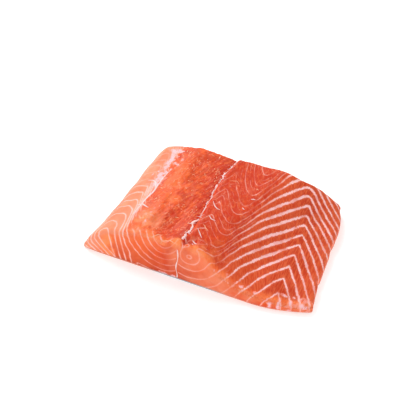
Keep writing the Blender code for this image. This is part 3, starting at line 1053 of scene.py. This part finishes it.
def ribbon(route, widths, towards=DOWN, thickness=0.4):
    """Points and faces of a flat closed strip on the flesh; the route and widths are in metres."""
    spots = [lay_on(point, towards) for point in route]
    kept = [k for k, spot in enumerate(spots) if spot[0] is not None]
    line = np.array([spots[k][0] for k in kept])
    ups = np.array([spots[k][1] for k in kept])
    ahead = np.gradient(line, axis=0)
    ahead /= np.linalg.norm(ahead, axis=1, keepdims=True)
    aside = np.cross(ahead, ups)
    aside /= np.linalg.norm(aside, axis=1, keepdims=True)
    points, faces = [], []
    turns = np.arange(RIBBON_SIDES) / RIBBON_SIDES * 2 * np.pi
    for spot, side, over, width in zip(line, aside, ups, np.asarray(widths)[kept]):
        for turn in turns:
            out = side * width / 2 * np.cos(turn) + over * width / 2 * thickness * np.sin(turn)
            points.append(np.clip(spot + out, flesh_low, flesh_high))
    for k in range(len(line) - 1):
        for s in range(RIBBON_SIDES):
            first = k * RIBBON_SIDES
            then = first + RIBBON_SIDES
            follows = (s + 1) % RIBBON_SIDES
            faces.append((first + s, then + s, then + follows, first + follows))
    faces.append(tuple(range(RIBBON_SIDES)))
    faces.append(tuple(range((len(line) - 1) * RIBBON_SIDES, len(line) * RIBBON_SIDES))[::-1])
    return points, faces


def joined(name, strips, material):
    """One object from many ribbons."""
    points, faces = [], []
    for strip_points, strip_faces in strips:
        start = len(points)
        points.extend(strip_points)
        faces.extend(tuple(start + v for v in face) for face in strip_faces)
    mesh = bpy.data.meshes.new(name)
    mesh.from_pydata([tuple(p) for p in points], [], faces)
    mesh.update()
    mesh.shade_smooth()
    mesh.materials.append(material)
    piece = in_scene(name, mesh)
    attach(piece, "root")
    print(name, "has", len(strips), "strips and", len(faces), "faces")
    return piece


# %% Strands and flecks
def tissue(name, thick, thin):
    made = Finish(name)
    place = made.node("ShaderNodeTexCoord", out="Object")
    fine = made.noise(place, 1100, detail=3.0)
    colour = made.mix(fine.step(0.3, 0.7) * 0.5, thick, thin)
    made.set(base_color=colour, normal=made.bump(fine, 0.0002, 0.5), roughness=0.40 + 0.2 * (fine - 0.5))
    made.set(coat_weight=0.1, subsurface_weight=0.2)
    made.set(subsurface_radius=(1.0, 0.5, 0.35), subsurface_scale=0.001)
    return made.material


SEAM_STRAND = (
    (-3.0, 11.0), (-2.6, 16.5), (-1.3, 20.0), (-1.8, 27.5), (-0.8, 31.0), (-0.7, 39.0), (0.3, 42.0),
    (-0.7, 50.0), (-1.0, 62.0), (-1.2, 69.0), (-0.5, 80.5), (1.6, 91.0), (3.2, 99.5),
)
STRANDS = (  # width in mm, then places
    (0.8, (3.3, 51.6), (6.0, 47.6), (8.8, 45.5), (11.2, 45.3)),
    (0.7, (6.2, 37.0), (8.6, 35.0), (11.7, 34.7)),
    (0.6, (5.5, 28.2), (8.3, 25.9), (10.8, 24.3)),
    (0.7, (3.6, 22.5), (6.5, 19.2), (9.1, 16.3)),
    (0.5, (6.5, 76.5), (11.4, 78.4), (13.2, 76.4)),
    (0.9, (27.2, 64.5), (30.3, 65.6)),
    (0.8, (24.3, 54.3), (26.5, 53.2)),
    (0.6, (27.0, 75.3), (29.5, 74.8)),
    (1.1, (3.6, 13.6), (8.0, 10.4)),
    (0.8, (3.9, 12.1), (6.2, 9.4)),
    (1.7, (-2.2, 20.5), (-0.6, 17.6)),
    (1.3, (-39.5, 73.0), (-41.6, 60.0), (-42.0, 45.0), (-44.0, 37.0), (-45.8, 29.0), (-46.6, 19.0)),
    (1.0, (-52.0, 58.0), (-48.0, 58.5), (-44.5, 56.0), (-42.0, 50.0)),
    (1.1, (-48.0, 31.6), (-44.0, 33.0), (-40.0, 31.0), (-38.0, 30.0)),
    (0.6, (-42.0, 22.0), (-37.5, 17.0), (-35.7, 17.4), (-38.0, 21.0)),
    (0.6, (-25.0, 4.7), (-23.0, 5.0), (-21.4, 7.0), (-19.5, 8.8), (-17.0, 8.8)),
    (0.6, (-15.8, 3.4), (-15.8, 4.6), (-14.2, 6.2), (-10.6, 7.0), (-4.4, 5.6)),
)


def level(places):
    """Places given across and along, as points in metres."""
    return np.column_stack([np.asarray(places), np.zeros(len(places))]) * MM


def tapered(count, width):
    """Widths of a strand in metres, thinner at both ends."""
    return width * MM * (0.25 + 0.75 * np.sin(np.linspace(0.15, np.pi - 0.15, count)))


draw = np.random.default_rng(7)
strips, thin_strips = [], []
seam_line = along(SEAM_STRAND)
wave = np.sin(seam_line[:, 1] / 1.7) + np.sin(seam_line[:, 1] / 2.9 + 1.0)
seam_line[:, 0] += 0.45 * wave + draw.uniform(-0.25, 0.25, len(seam_line))
SEAM_TEARS = (9.0, 17.3, 35.5, 47.0, 57.5, 72.0, 88.0, 101.0)  # mm, where the tissue is torn through
BARBS = 60
FLECKS = 60
for torn_from, torn_to in zip(SEAM_TEARS, SEAM_TEARS[1:]):
    part = seam_line[(seam_line[:, 1] > torn_from + 0.5) & (seam_line[:, 1] < torn_to - 0.5)]
    bead = np.sin(part[:, 1] / 2.1) + 0.8 * np.sin(part[:, 1] / 0.9 + 1.0)
    ends = np.clip(2.5 * np.sin(np.linspace(0.2, np.pi - 0.2, len(part))), 0, 1)  # thin where it is torn
    widths = (1.3 + 0.5 * bead + 0.5 * (part[:, 1] < 32)) * ends
    strips.append(ribbon(level(part), widths * MM))
for width, *places in STRANDS:
    route = along(places)
    route += draw.uniform(-0.05, 0.05, route.shape)
    strand = ribbon(level(route), tapered(len(route), width))
    (strips if width > 0.65 else thin_strips).append(strand)
for _ in range(BARBS):
    start = seam_line[draw.integers(len(seam_line))]
    turn = draw.choice([-1, 1]) * draw.uniform(0.5, 1.4)
    length = draw.uniform(1.0, 3.0)
    tip_place = start + length * np.array([np.sin(turn), np.cos(turn) * draw.choice([-1, 1])])
    route = along([start, tip_place], 0.4)
    strips.append(ribbon(level(route), draw.uniform(0.5, 1.1) * MM * np.linspace(1, 0.2, len(route))))
rise = np.linspace(2.0, 27.0, 50)
across = -3.0 + 0.5 * np.sin(rise / 2.6)
width = (0.75 + 0.3 * np.sin(rise / 1.7)) * MM
strips.append(ribbon(np.column_stack([across, 0 * rise, rise]) * MM, width, BACKWARD))
strips.append(ribbon(np.column_stack([across + 6.0, 0 * rise + 100, rise]) * MM, width, FORWARD))
TISSUE_WHITE = shade(250, 222, 222)
TISSUE_PINK = shade(252, 178, 160)
seam_tissue = joined("seam_tissue", strips, tissue("connective_tissue", TISSUE_WHITE, TISSUE_PINK))

# %% Flecks of the torn loin, partly painted glints
flecks = list(thin_strips)
# Pale flecks over the loin: partly torn fibre, partly painted glints of the wet flesh.
for _ in range(FLECKS):
    middle = np.array([draw.uniform(-41, -3), draw.uniform(12, 97)])
    turn = LOIN_TURN + draw.normal(0, 0.7)
    half = draw.uniform(0.3, 1.6) * np.array([np.sin(turn), np.cos(turn)])
    route = along([middle - half, middle + half], 0.4)
    flecks.append(ribbon(level(route), tapered(len(route), draw.uniform(0.35, 0.7))))
torn_flecks = joined("torn_flecks", flecks, tissue("fleck_fat", shade(255, 190, 150), ORANGE))

# %% [markdown]
# The floor is a plain white sheet that glows faintly, which keeps the shadows pale. The light is a large
# soft one behind and to the left, with a weaker one in front to the right and an even white sky for the
# rest, as in a catalogue photograph. One hard lamp would be simpler, but it burns spots into wet flesh.
# The camera looks down at 45 degrees from 23 degrees to the right of the front cut.

# %% Floor and light
bpy.context.scene.view_settings.view_transform = "Standard"
bpy.ops.mesh.primitive_plane_add(size=6.0, location=(0, 0, 0))
floor = bpy.context.active_object
floor.name = "floor"
WHITE = (1.0, 1.0, 1.0, 1.0)
PAPER_GLOW = 0.26
SKY_STRENGTH = 0.70
paper = Finish("white_paper")
paper.set(base_color=(0.93, 0.93, 0.93, 1.0), roughness=0.8)
paper.set(emission_color=WHITE, emission_strength=PAPER_GLOW)
floor.data.materials.append(paper.material)

world = bpy.data.worlds.new("studio")
bpy.context.scene.world = world
world.use_nodes = True
sky = world.node_tree.nodes["Background"].inputs
sky["Color"].default_value = WHITE
sky["Strength"].default_value = SKY_STRENGTH


def soft_light(name, place, size, power):
    data = bpy.data.lights.new(name, "AREA")
    data.shape = "DISK"
    data.size = size
    data.energy = power
    lamp = in_scene(name, data)
    lamp.location = place
    lamp.rotation_euler = (-Vector(place)).to_track_quat("-Z", "Y").to_euler()


soft_light("window_light", (-0.75, 0.55, 0.85), 0.8, 9.2)
soft_light("fill_light", (0.5, -0.9, 0.8), 1.0, 3.6)

# %% Camera
CAMERA_TURN = 0.40349  # radians to the right of the front cut
CAMERA_RISE = 0.78673
CAMERA_DISTANCE = 0.547765
CAMERA_TARGET = Vector((-0.02603, 0.02517, 0.0))
CAMERA_LENS = 63.0  # mm on a 36 mm sensor

back = Vector((
    np.sin(CAMERA_TURN) * np.cos(CAMERA_RISE),
    -np.cos(CAMERA_TURN) * np.cos(CAMERA_RISE),
    np.sin(CAMERA_RISE),
))
camera_data = bpy.data.cameras.new("camera")
camera_data.lens = CAMERA_LENS
camera_data.sensor_width = 36.0
camera = in_scene("camera", camera_data)
camera.location = CAMERA_TARGET + back * CAMERA_DISTANCE
camera.rotation_euler = back.to_track_quat("Z", "Y").to_euler()
bpy.context.scene.camera = camera
print("camera at", [round(v, 3) for v in camera.location])
